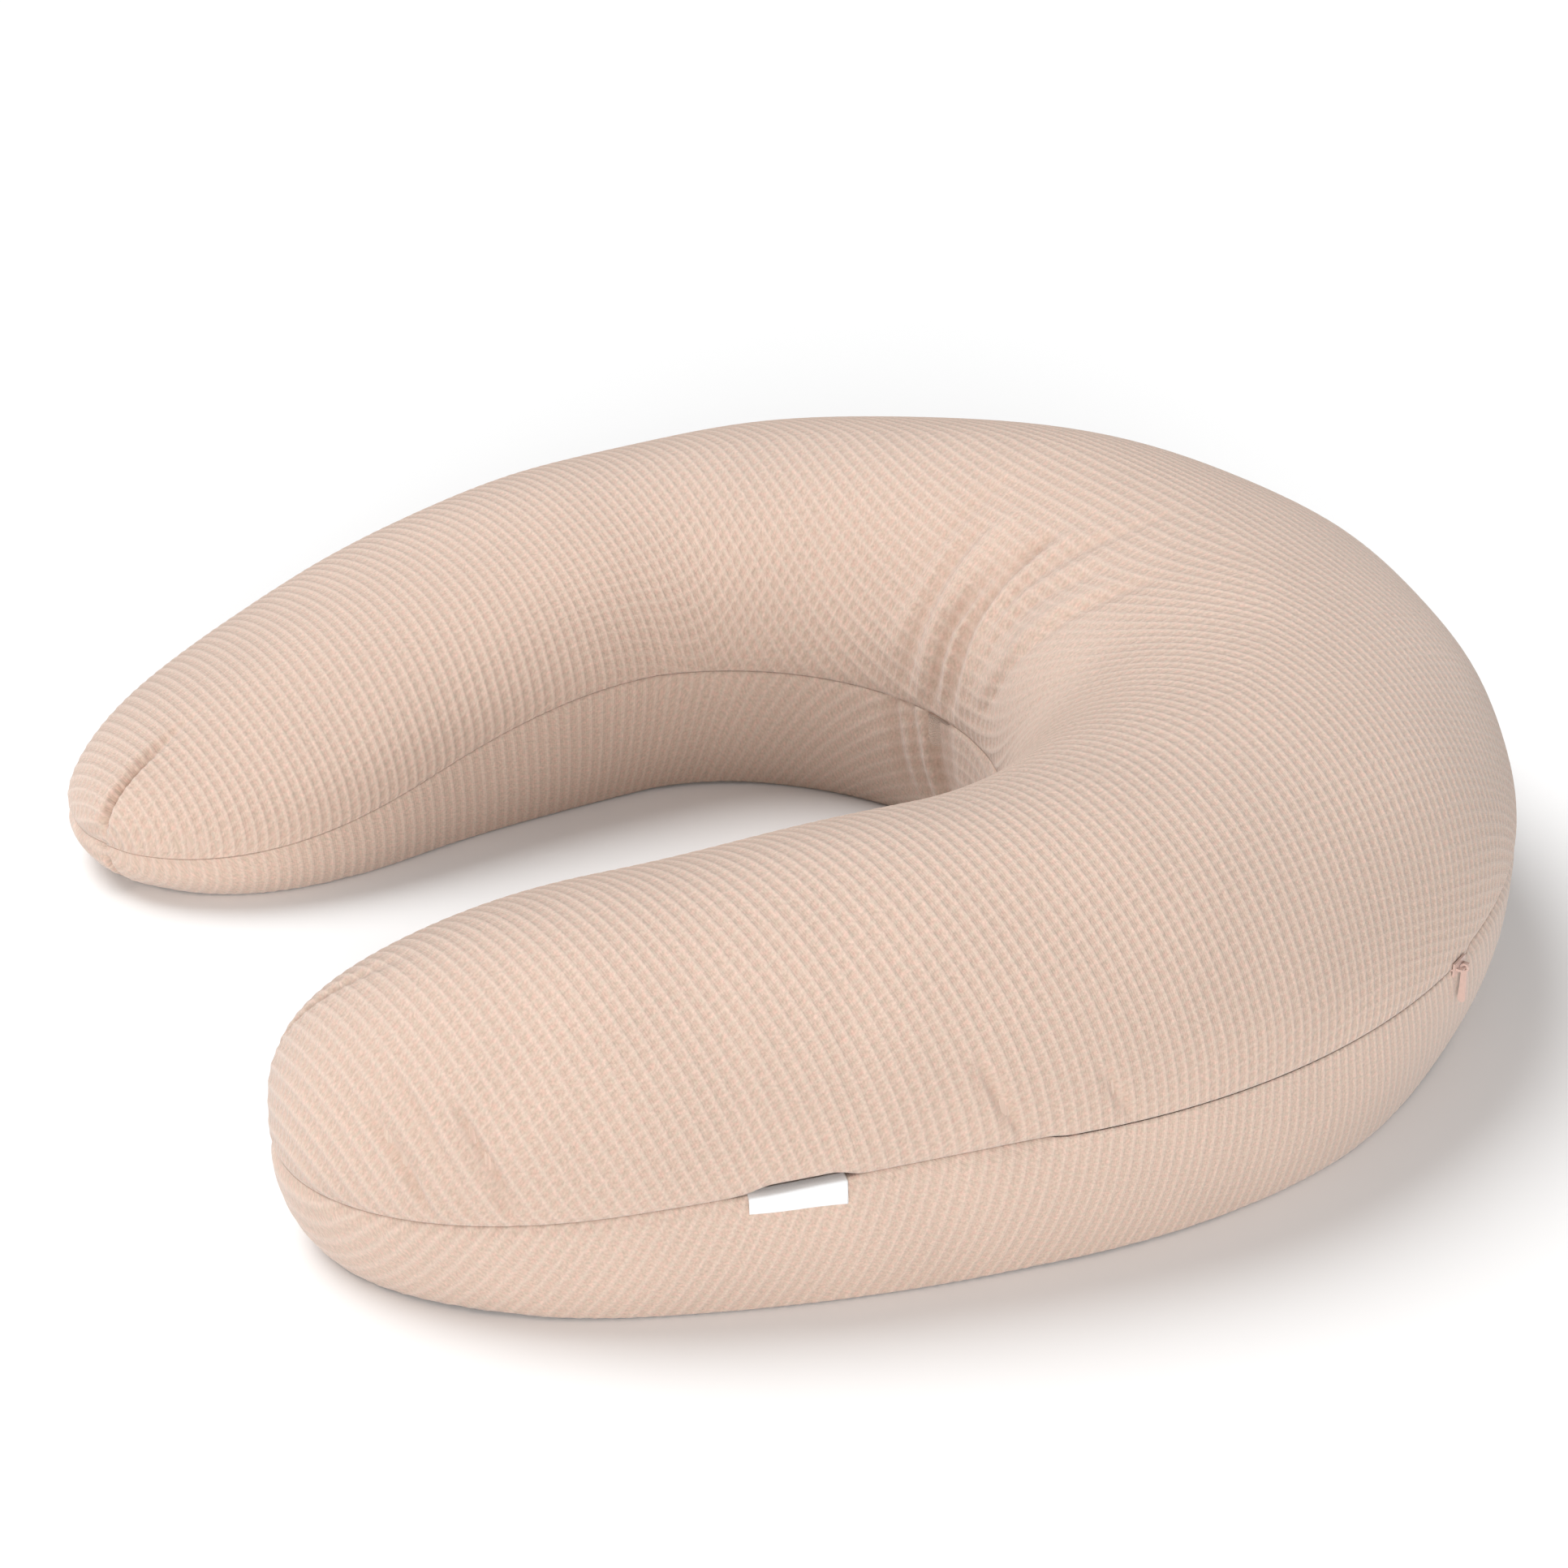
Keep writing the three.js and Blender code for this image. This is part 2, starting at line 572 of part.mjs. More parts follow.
// The care label hangs inside from the lower allowance, clear of the lower panel's face.
{
  const top = -(ZIP_HALF_GAP + COVER_WALL + SEWN_GAP);
  const inset = innerFaceInset(zipPlace(CARE_LABEL_ANGLE), top - CARE_LABEL_DROP) + LOOSE_GAP;
  const outer = BEND_RIM_RADIUS - inset;
  const halfAngle = zipAngle(CARE_LABEL_WIDTH / 2);
  const span = [CARE_LABEL_ANGLE - halfAngle, CARE_LABEL_ANGLE + halfAngle, 4];
  const label = arcBand(outer - CARE_LABEL_THICKNESS, outer, top - CARE_LABEL_DROP, top, ...span);
  add("care_label", label, whiteTape, zip);
}

// ---------- the part's own frame ----------

const pillow = new THREE.Group();
pillow.add(plan);
const box = new THREE.Box3().setFromObject(plan);
plan.position.set(-(box.min.x + box.max.x) / 2, -(box.min.y + box.max.y) / 2, -box.min.z);

export default pillow;
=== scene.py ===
import json
import math

import bmesh
import bpy
import numpy as np
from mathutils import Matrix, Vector


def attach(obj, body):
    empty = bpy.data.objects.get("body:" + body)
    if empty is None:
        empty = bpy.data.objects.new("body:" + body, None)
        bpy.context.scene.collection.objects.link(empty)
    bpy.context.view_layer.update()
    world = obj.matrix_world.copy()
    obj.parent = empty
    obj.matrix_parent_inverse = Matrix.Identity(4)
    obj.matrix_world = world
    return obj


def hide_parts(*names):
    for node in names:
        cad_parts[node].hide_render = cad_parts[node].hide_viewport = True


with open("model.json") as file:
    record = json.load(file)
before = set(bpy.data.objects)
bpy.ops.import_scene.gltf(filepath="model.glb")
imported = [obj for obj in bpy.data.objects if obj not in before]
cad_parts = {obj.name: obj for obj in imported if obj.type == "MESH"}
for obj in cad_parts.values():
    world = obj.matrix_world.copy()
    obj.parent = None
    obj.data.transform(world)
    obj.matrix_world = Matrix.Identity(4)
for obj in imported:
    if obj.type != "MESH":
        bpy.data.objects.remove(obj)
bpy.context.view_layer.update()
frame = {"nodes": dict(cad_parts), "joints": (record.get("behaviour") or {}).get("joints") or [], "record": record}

mm = 0.001

cameraSet = {
    "turn": math.radians(-23.53),  # round the pillow, from straight in front of the near arm
    "rise": math.radians(27.89),
    "distance": 1.6848,
    "aim": (-0.0248, 0.0007, 0.060),
    "lens": 81.92,
    "shift": (0.00663, 0.01090),
}
lightSet = {
    "dome": 0.33,
    "lamps": {  # direction it comes from, power, softness
        "overheadSun": ((-0.38, 0.50, 1.0), 2.3, math.radians(40)),
        "frontSun": ((-0.42, -0.90, 0.22), 2.5, math.radians(30)),
    },
}
floorSet = {"half": 60.0, "drop": 0.0006, "white": 0.95, "bounce": 0.74, "roughness": 0.9, "specular": 0.1}


def makeCamera():
    turn, rise = cameraSet["turn"], cameraSet["rise"]
    back = Vector((math.sin(turn) * math.cos(rise), -math.cos(turn) * math.cos(rise), math.sin(rise)))
    data = bpy.data.cameras.new("camera")
    data.lens = cameraSet["lens"]
    data.sensor_width = 36
    data.shift_x, data.shift_y = cameraSet["shift"]
    data.clip_end = 300
    camera = bpy.data.objects.new("camera", data)
    camera.location = Vector(cameraSet["aim"]) + back * cameraSet["distance"]
    camera.rotation_euler = back.to_track_quat("Z", "Y").to_euler()
    bpy.context.scene.collection.objects.link(camera)
    bpy.context.scene.camera = camera


def makeLight():
    world = bpy.data.worlds.new("studio")
    world.use_nodes = True
    world.node_tree.nodes["Background"].inputs["Color"].default_value = (1, 1, 1, 1)
    world.node_tree.nodes["Background"].inputs["Strength"].default_value = lightSet["dome"]
    bpy.context.scene.world = world
    for name, (comesFrom, power, softness) in lightSet["lamps"].items():
        data = bpy.data.lights.new(name, "SUN")
        data.energy = power
        data.angle = softness
        sun = bpy.data.objects.new(name, data)
        sun.rotation_euler = Vector(comesFrom).to_track_quat("Z", "Y").to_euler()
        bpy.context.scene.collection.objects.link(sun)
    bpy.context.scene.view_settings.view_transform = "Standard"


def makeFloor():
    bm = bmesh.new()
    bmesh.ops.create_grid(bm, x_segments=1, y_segments=1, size=floorSet["half"])
    bmesh.ops.translate(bm, verts=bm.verts, vec=(0, 0, -floorSet["drop"]))
    floor = meshObject("floor", bm)
    material, shader = newMaterial("paleFloor", floorSet["roughness"])
    tree = material.node_tree
    lightPath = tree.nodes.new("ShaderNodeLightPath")  # a darker bounce keeps the underside shaded
    white, bounce = floorSet["white"], floorSet["bounce"]
    colour = mixColour(tree, lightPath.outputs["Is Diffuse Ray"], (white, white, white, 1), (bounce, bounce, bounce, 1))
    tree.links.new(colour, shader.inputs["Base Color"])
    shader.inputs["Specular IOR Level"].default_value = floorSet["specular"]
    floor.data.materials.append(material)


def meshObject(name, bm):
    mesh = bpy.data.meshes.new(name)
    bm.to_mesh(mesh)
    bm.free()
    piece = bpy.data.objects.new(name, mesh)
    bpy.context.scene.collection.objects.link(piece)
    return piece


def newMaterial(name, roughness, metallic=0.0):
    material = bpy.data.materials.new(name)
    material.use_nodes = True
    shader = material.node_tree.nodes["Principled BSDF"]
    shader.inputs["Roughness"].default_value = roughness
    shader.inputs["Metallic"].default_value = metallic
    return material, shader


def plug(tree, value, socket):
    if isinstance(value, bpy.types.NodeSocket):
        tree.links.new(value, socket)
    else:
        socket.default_value = value


def calc(tree, operation, *values):
    node = tree.nodes.new("ShaderNodeMath")
    node.operation = operation
    for socket, value in zip(node.inputs, values):
        plug(tree, value, socket)
    return node.outputs[0]


def noise(tree, vector, scale, detail=2.0):
    node = tree.nodes.new("ShaderNodeTexNoise")
    tree.links.new(vector, node.inputs["Vector"])
    plug(tree, scale, node.inputs["Scale"])
    node.inputs["Detail"].default_value = detail
    return node.outputs[0]


def mixColour(tree, share, a, b, blend="MIX"):
    node = tree.nodes.new("ShaderNodeMix")
    node.data_type = "RGBA"
    node.blend_type = blend
    plug(tree, share, node.inputs[0])
    for value, socket in ((a, node.inputs[6]), (b, node.inputs[7])):
        plug(tree, value, socket)
    return node.outputs[2]


def bump(tree, height, distance, strength=1.0):
    node = tree.nodes.new("ShaderNodeBump")
    node.inputs["Strength"].default_value = strength
    node.inputs["Distance"].default_value = distance
    tree.links.new(height, node.inputs["Height"])
    return node.outputs[0]


def newGroup(name, inputs, outputs):
    group = bpy.data.node_groups.new(name, "ShaderNodeTree")
    for label, kind, value in inputs:
        socket = group.interface.new_socket(label, in_out="INPUT", socket_type="NodeSocket" + kind)
        if value is not None:
            socket.default_value = value
    for label, kind in outputs:
        group.interface.new_socket(label, in_out="OUTPUT", socket_type="NodeSocket" + kind)
    start = group.nodes.new("NodeGroupInput")
    end = group.nodes.new("NodeGroupOutput")
    return group, start, end


def placeGroup(tree, group, vector, **values):
    node = tree.nodes.new("ShaderNodeGroup")
    node.node_tree = group
    tree.links.new(vector, node.inputs["Vector"])
    for label, value in values.items():
        node.inputs[label].default_value = value
    return node


def shade(colour):
    return (*colour, 1.0)


def pieceCoordinates(tree):
    return tree.nodes.new("ShaderNodeTexCoord").outputs["Object"]


heatherSet = {"detail": 3.0, "patchScale": 22.0, "hueScale": 0.6, "tint": 3.5, "blend": 0.05, "fibreShade": 0.8,
              "patchShade": 0.12}
waffleSet = {"yarn": (0.00082, 0.10), "stitch": (0.0011, 0.08)}  # pitch in metres, height


def makeHeatherGroup():  # yarn spun from fibres of slightly different colours
    group, start, end = newGroup(
        "heatheredYarn",
        [("Vector", "Vector", None), ("Colour", "Color", (0.6, 0.5, 0.4, 1)), ("Warm", "Color", (0.7, 0.5, 0.4, 1)),
         ("Cool", "Color", (0.5, 0.5, 0.4, 1)), ("Grain", "Float", 800.0), ("Amount", "Float", 0.5)],
        [("Colour", "Color"), ("Fuzz", "Float")])
    vector, colour, warm, cool, grain, amount = (start.outputs[i] for i in range(6))
    fibre = noise(group, vector, grain, heatherSet["detail"])
    patch = noise(group, vector, heatherSet["patchScale"])
    hue = noise(group, vector, calc(group, "MULTIPLY", grain, heatherSet["hueScale"]))
    tint = calc(group, "MULTIPLY", amount, heatherSet["tint"])
    mixed = colour
    for lean, other in (((hue, 0.5), warm), ((0.5, hue), cool)):
        past = calc(group, "SMOOTH_MAX", calc(group, "SUBTRACT", *lean), 0, heatherSet["blend"])
        mixed = mixColour(group, calc(group, "MULTIPLY", past, tint), mixed, other)
    mottle = calc(group, "ADD",
                  calc(group, "MULTIPLY", calc(group, "SUBTRACT", fibre, 0.5), heatherSet["fibreShade"]),
                  calc(group, "MULTIPLY", calc(group, "SUBTRACT", patch, 0.5), heatherSet["patchShade"]))
    level = calc(group, "ADD", 1.0, calc(group, "MULTIPLY", mottle, amount))
    grey = group.nodes.new("ShaderNodeCombineColor")
    for socket in grey.inputs:
        group.links.new(level, socket)
    shaded = mixColour(group, 1.0, mixed, grey.outputs[0], "MULTIPLY")
    group.links.new(shaded, end.inputs["Colour"])
    group.links.new(fibre, end.inputs["Fuzz"])
    return group


def makeWaffleGroup():  # narrow raised ribs crossed by lower rungs, with a shallow cell between them
    group, start, end = newGroup(
        "waffleKnit",
        [("Vector", "Vector", None), ("Rib Pitch", "Float", 0.0056), ("Row Pitch", "Float", 0.0056),
         ("Sharpness", "Float", 2.0), ("Rungs", "Float", 0.8)],
        [("Height", "Float"), ("Pit", "Float"), ("Ridge", "Float")])
    vector, ribPitch, rowPitch, sharpness, rungs = (start.outputs[i] for i in range(5))
    parts = group.nodes.new("ShaderNodeSeparateXYZ")
    group.links.new(vector, parts.inputs[0])

    def wave(value, pitch):
        turns = calc(group, "MULTIPLY", calc(group, "DIVIDE", value, pitch), 2 * math.pi)
        return calc(group, "MULTIPLY_ADD", calc(group, "COSINE", turns), 0.5, 0.5)

    rib = calc(group, "POWER", wave(parts.outputs["X"], ribPitch), sharpness)
    rung = calc(group, "MULTIPLY", calc(group, "POWER", wave(parts.outputs["Y"], rowPitch), sharpness), rungs)
    pit = calc(group, "MULTIPLY", calc(group, "SUBTRACT", 1.0, rib), calc(group, "SUBTRACT", 1.0, rung))
    ridge = calc(group, "SUBTRACT", 1.0, pit)
    yarn = calc(group, "MULTIPLY", wave(parts.outputs["Y"], waffleSet["yarn"][0]), waffleSet["yarn"][1])
    stitch = calc(group, "MULTIPLY", wave(parts.outputs["X"], waffleSet["stitch"][0]), waffleSet["stitch"][1])
    height = calc(group, "ADD", ridge, calc(group, "ADD", yarn, stitch))
    group.links.new(height, end.inputs["Height"])
    # Pit and Ridge are masks for the material's painted shade in the pits and painted highlight on the ridges
    group.links.new(pit, end.inputs["Pit"])
    group.links.new(ridge, end.inputs["Ridge"])
    return group


def makeWeaveGroup():  # a plain weave of two crossing sets of yarns
    group, start, end = newGroup(
        "plainWeave",
        [("Vector", "Vector", None), ("Across", "Float", 0.0007), ("Along", "Float", 0.0007)],
        [("Height", "Float")])
    parts = group.nodes.new("ShaderNodeSeparateXYZ")
    group.links.new(start.outputs["Vector"], parts.inputs[0])
    waves = []
    for axis, pitch in (("X", "Across"), ("Y", "Along")):
        turns = calc(group, "MULTIPLY", calc(group, "DIVIDE", parts.outputs[axis], start.outputs[pitch]), 2 * math.pi)
        waves.append(calc(group, "SINE", turns))
    height = calc(group, "MULTIPLY_ADD", calc(group, "MULTIPLY", waves[0], waves[1]), 0.5, 0.5)
    group.links.new(height, end.inputs["Height"])
    return group


form = {  # millimetres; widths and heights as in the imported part
    "spineRadius": 226.0, "bendHalfAngle": math.radians(93), "armLength": 290.0, "armRadius": 620.0,
    "rimRadius": 325.5, "rimOffset": 22.0,
    "tipHalfWidth": 88.0, "tipLength": 143.0, "tipRun": 190.0, "tipExponent": 2.17,
    "bendSeam": 69.5, "nearTipSeam": 43.0, "farTipSeam": 26.0,
    "bendCrown": 102.5, "nearTipCrown": 89.0, "farTipCrown": 46.0,
    "belly": 1.84, "topExponent": 1.91, "baseExponent": 2.28,
    "tipCrownRounding": 0.775, "tipBellyRounding": 0.94,
    "zipFrom": math.radians(-94.5), "zipTo": math.radians(-56.5),
    "labelMiddle": -459.8, "labelWidth": 34.0,
}
bendLength = form["spineRadius"] * form["bendHalfAngle"]
halfLength = bendLength + form["armLength"]
tipStart = halfLength - form["tipLength"]

# The zip's joint turns about the centre of the bend's rim, and that fixes where the plan lies in the frame.
zipJoint = next(joint for joint in frame["joints"] if joint["name"] == "zip_slide")
rimCentre = np.array(zipJoint["pos_m"]) / mm
planShift = np.array([rimCentre[0] - form["rimOffset"], rimCentre[1], 0.0])


def bendHalfWidth(turn):
    across = form["rimOffset"] * np.sin(turn)
    return form["rimOffset"] * np.cos(turn) + np.sqrt(form["rimRadius"] ** 2 - across ** 2) - form["spineRadius"]


def placeAt(s, inset):  # s runs along the spine, + to the far tip; the rest may be fields over the panel
    intoTip = np.clip((np.abs(s) - tipStart) / form["tipLength"], 0, 1)
    run = np.minimum(np.abs(s), tipStart) + intoTip * (form["tipLength"] - inset)
    onArm = np.maximum(run - bendLength, 0)
    turn = np.minimum(run, bendLength) / form["spineRadius"] + onArm / form["armRadius"]
    side = np.where(s < 0, -1.0, 1.0)
    outward = np.stack([np.cos(turn), side * np.sin(turn)], -1)
    endTurn = form["bendHalfAngle"]
    bendEnd = np.stack([np.full_like(side, math.cos(endTurn)), side * math.sin(endTurn)], -1)
    arm = (onArm > 0)[..., None]
    spine = np.where(arm, outward * form["armRadius"] + bendEnd * (form["spineRadius"] - form["armRadius"]),
                     outward * form["spineRadius"])
    endWidth = float(bendHalfWidth(endTurn))
    full = np.where(onArm > 0, endWidth + (form["tipHalfWidth"] - endWidth) * onArm / form["armLength"],
                    bendHalfWidth(turn))
    roundness = (1 - intoTip ** form["tipExponent"]) ** (1 / form["tipExponent"])
    return spine, outward, roundness, (full - inset) * roundness


def ease(start, end, share):
    return start + (end - start) * (0.5 - 0.5 * np.cos(np.pi * np.clip(share, 0, 1)))


def seamAt(s):
    end = np.where(s < 0, form["nearTipSeam"], form["farTipSeam"])
    return ease(form["bendSeam"], end, np.maximum(np.abs(s) - bendLength, 0) / form["armLength"])


def crownAt(s):
    end = np.where(s < 0, form["nearTipCrown"], form["farTipCrown"])
    return ease(form["bendCrown"], end, np.abs(s) / halfLength)


def skinAt(s, angle, up, inset, skin, start):
    spine, outward, roundness, halfWidth = placeAt(s, inset)
    power = 2 / (form["topExponent"] if up > 0 else form["baseExponent"])
    lean = np.cos(angle)
    across = np.sign(lean) * np.abs(lean) ** power * halfWidth
    rise = np.maximum(np.sin(angle), 0) ** power
    if up > 0:
        z = seamAt(s) + start + (crownAt(s) - skin - start) * roundness ** form["tipCrownRounding"] * rise
    else:
        depth = (seamAt(s) * form["belly"] - skin - start) * roundness ** form["tipBellyRounding"]
        z = np.maximum(seamAt(s) - start - depth * rise, skin)
    return np.concatenate([spine + outward * across[..., None], z[..., None]], -1)


def rimAt(s, inset, side, height):
    spine, outward, _, halfWidth = placeAt(s, inset)
    z = seamAt(s) + height
    return np.concatenate([spine + outward * (side * halfWidth)[..., None], z[..., None]], -1)


def zipPlace(angle):
    x = form["rimOffset"] + form["rimRadius"] * math.cos(angle)
    return form["spineRadius"] * math.atan2(form["rimRadius"] * math.sin(angle), x)


def bell(distance, width):
    return np.exp(-(distance / width) ** 2)


def fadeBetween(value, start, end):  # 0 before start, 1 after end
    share = np.clip((value - start) / (end - start), 0, 1)
    return share * share * (3 - 2 * share)


def fadeRound(value, span, outer, inner):  # 1 on the span and the inner margin, 0 past the outer margin
    before = fadeBetween(value, span[0] - outer, span[0] - inner)
    return before * (1 - fadeBetween(value, span[1] + inner, span[1] + outer))


driftSet = {"waves": 7, "level": 2.6}


def drift(points, size, seed):  # gentle unevenness of about 1 either way, with lumps of that size
    rng = np.random.default_rng(seed)
    total = np.zeros(points.shape[:-1])
    for _ in range(driftSet["waves"]):
        way = rng.normal(size=points.shape[-1])
        way *= 2 * np.pi / (size * rng.uniform(0.7, 1.5) * np.linalg.norm(way))
        total += np.sin(points @ way + rng.uniform(0, 2 * np.pi))
    return total / driftSet["level"]


zipSpan = (zipPlace(form["zipFrom"]), zipPlace(form["zipTo"]))
labelSpan = (form["labelMiddle"] - form["labelWidth"] / 2, form["labelMiddle"] + form["labelWidth"] / 2)

# Each fold is a run of places (along the spine, angle over the section), a height and a width. Hollows are negative.
topFolds = [
    ([(114, 112), (123, 128), (131, 140), (138, 152)], -0.8, 4.0),
    ([(116, 127), (125, 140), (131, 152), (139, 165)], 0.9, 4.5),
    ([(102, 126), (107, 138), (111, 154), (117, 173)], -1.3, 4.5),
    ([(86, 122), (94, 141), (95, 155), (93, 171)], 1.7, 6.0),
    ([(48, 124), (67, 141), (79, 154), (78, 168), (81, 176)], -2.0, 4.5),
    ([(56, 130), (64, 143), (68, 156), (66, 172)], 1.3, 3.6),
    ([(44, 124), (51, 141), (57, 150), (52, 164), (53, 175)], -1.8, 5.0),
    ([(34, 120), (41, 137), (38, 147), (32, 160), (30, 171)], 1.5, 4.5),
    ([(11, 117), (28, 136), (31, 146), (28, 155), (23, 167)], -1.1, 4.0),
    ([(-17, 124), (6, 141), (13, 151), (15, 160)], -0.9, 3.6),
    ([(-6, 120), (17, 138), (21, 150), (20, 162)], 0.8, 4.0),
    ([(4, 99), (5, 111), (16, 122)], -0.5, 4.0),
    ([(-57, 116), (-45, 134), (-44, 144), (-33, 155), (-14, 168)], -1.3, 4.5),
    ([(-40, 124), (-30, 136), (-22, 150), (-6, 165)], 0.9, 5.0),
    ([(-125, 148), (-85, 146), (-45, 149), (-15, 152)], 2.4, 26.0),
    ([(-575, 33), (-568, 23), (-562, 15), (-556, 3)], -1.5, 2.2),
    ([(-582, 28), (-575, 18), (-568, 8)], 0.8, 3.6),
    ([(-395, 24), (-388, 13), (-380, 3)], -1.1, 2.2),
    ([(-608, 34), (-594, 18), (-586, 4)], -1.3, 2.4),
    ([(-353, 16), (-346, 3)], -0.9, 2.2),
    ([(-600, 45), (-576, 16), (-569, 4)], -0.9, 2.4),
]
baseFolds = [
    ([(112, 179.9), (101, 174), (86, 160)], -2.0, 4.6),
    ([(121, 179.9), (112, 174), (98, 162)], 1.2, 5.0),
    ([(132, 179.9), (124, 174), (112, 162)], -1.4, 4.6),
    ([(84, 179.9), (74, 174), (60, 162)], -2.0, 5.0),
    ([(98, 179.9), (88, 173), (75, 160)], 1.2, 5.5),
    ([(60, 179.9), (52, 174), (42, 162)], -1.2, 6.0),
]
# The last setting is the depth of a fold's hollow that gets the full painted shade.
foldSet = {"strength": 2.1, "width": 1.15, "stations": 40, "taper": 0.4, "topFrom": 0.04, "baseFrom": 0.16, "to": 0.96,
           "flatten": 1.2, "foldShade": 3.0}


def foldRelief(points, up):
    relief = np.zeros(points.shape[:-1])
    flat = points.reshape(-1, 3)
    out = relief.reshape(-1)
    count = foldSet["stations"]
    ends = np.linspace(foldSet["topFrom"] if up > 0 else foldSet["baseFrom"], foldSet["to"], count)
    taper = np.sin(np.pi * ends) ** foldSet["taper"]  # the lower folds start at the seam
    for places, height, width in topFolds if up > 0 else baseFolds:
        s, angle = np.array(places, float).T
        share = np.linspace(0, len(s) - 1, count)
        s, angle = (np.interp(share, range(len(run)), run) for run in (s, angle))
        line = skinAt(s, np.radians(angle), up, 0.0, 0.0, 0.0)
        height, width = height * foldSet["strength"], width * foldSet["width"]
        low, high = line.min(0) - 3 * width, line.max(0) + 3 * width
        near = np.flatnonzero(((flat > low) & (flat < high)).all(1))
        if not len(near):
            continue
        gaps = np.linalg.norm(flat[near][:, None, :] - line[None, :, :], axis=2)
        best = gaps.argmin(1)
        out[near] += height * taper[best] * bell(gaps[np.arange(len(near)), best], width)
    return relief


coverKnit = {
    "ribPitch": 5.6, "rowPitch": 5.6, "grain": math.radians(-10), "skew": 0.16, "wander": 2.2, "wanderSize": (170, 150),
    "innerGather": 0.3, "latticeRelief": 0.4, "baseRelief": 0.5,
    "rowShareBend": 0.95, "rowShareArms": 0.25, "bendRows": (300, 460),
    "slit": 0.25, "zipSlit": 0.42, "labelSlit": 0.6, "leadSlit": 0.32, "leadFrom": -388.0, "pocket": 2.6,
    "zipClear": 1.9, "pinch": 2.0, "pinchWidth": 3.2, "innerPinch": 0.5, "zipPinch": 0.9,
    "swell": 0.9, "swellSize": 130, "tipFade": 1.2, "seamFade": 2.5, "insideAngles": 25,
}
marginSet = {  # along the spine, or from the seam: where a fade starts and ends
    "zipPinch": (14, 6), "zipSlit": (14, 9), "zipClear": (12, 9.5), "labelSlit": (9, 1), "lead": 4,
    "pocketRise": (3, 9), "pocketFall": (5, 6), "gather": (60, 120), "swell": (4, 30), "farFromSeam": 60.0,
}


def spineStations(step):
    body = np.linspace(-tipStart, tipStart, int(2 * tipStart / step) + 1)
    tip = tipStart + form["tipLength"] * np.sin(np.linspace(0, np.pi / 2, int(form["tipRun"] / step) + 1))[1:]
    return np.concatenate([-tip[::-1], body, tip])


def evenAngles(up, step):  # angles that are evenly spaced along the bend's middle section
    dense = np.linspace(0, np.pi, 2001)
    points = skinAt(np.zeros_like(dense), dense, up, 0.0, 0.0, 0.0)
    along = np.concatenate([[0], np.cumsum(np.linalg.norm(np.diff(points, axis=0), axis=1))])
    angles = np.interp(np.linspace(0, along[-1], int(along[-1] / step) + 1), along, dense)
    angles[np.argmin(np.abs(angles - np.pi / 2))] = np.pi / 2
    return angles


def overGrid(s, angles):
    return np.repeat(s[:, None], len(angles), 1), np.repeat(angles[None, :], len(s), 0)


def arcFields(points, crest):  # arc length from the crest, + on the outer side, and from the nearer seam
    steps = np.linalg.norm(np.diff(points, axis=1), axis=2)
    along = np.concatenate([np.zeros((len(points), 1)), np.cumsum(steps, 1)], 1)
    fromSeam = np.minimum(along, along[:, -1:] - along)
    return along[:, crest:crest + 1] - along, fromSeam


def outwardNormals(points, up):
    du = np.gradient(points, axis=0)
    dv = np.gradient(points, axis=1)
    normal = np.cross(du, dv) if up > 0 else np.cross(dv, du)
    length = np.linalg.norm(normal, axis=2, keepdims=True)
    return np.where(length > 1e-6, normal / np.maximum(length, 1e-6), [0, 0, float(up)])


def fabricCut(s, points, signedArc):  # where a point of the panel lay on the flat cloth
    spine, outward, _, _ = placeAt(s, 0.0)
    pastBend, gatherFade = marginSet["gather"]
    gathered = 1 - coverKnit["innerGather"] * fadeBetween(bendLength + pastBend - np.abs(s), 0, gatherFade)
    reach = np.where(signedArc < 0, signedArc * gathered, signedArc)
    crest = points[:, points.shape[1] // 2]
    steps = np.linalg.norm(np.diff(crest, axis=0), axis=1) - np.linalg.norm(np.diff(crest[:, :2], axis=0), axis=1)
    extra = np.concatenate([[0], np.cumsum(steps)])
    extra -= np.interp(0, s[:, 0], extra)
    ahead = np.stack([-outward[..., 1], outward[..., 0]], -1)
    flat = spine + outward * reach[..., None] + ahead * extra[:, None, None]
    across, along = (drift(flat, size, seed) for size, seed in zip(coverKnit["wanderSize"], (5, 6)))
    flat = flat + np.stack([across, along], -1) * coverKnit["wander"]
    turn = coverKnit["grain"]
    across = flat[..., 0] * math.cos(turn) - flat[..., 1] * math.sin(turn)
    along = flat[..., 0] * math.sin(turn) + flat[..., 1] * math.cos(turn)
    return np.stack([across, along - coverKnit["skew"] * across], -1)


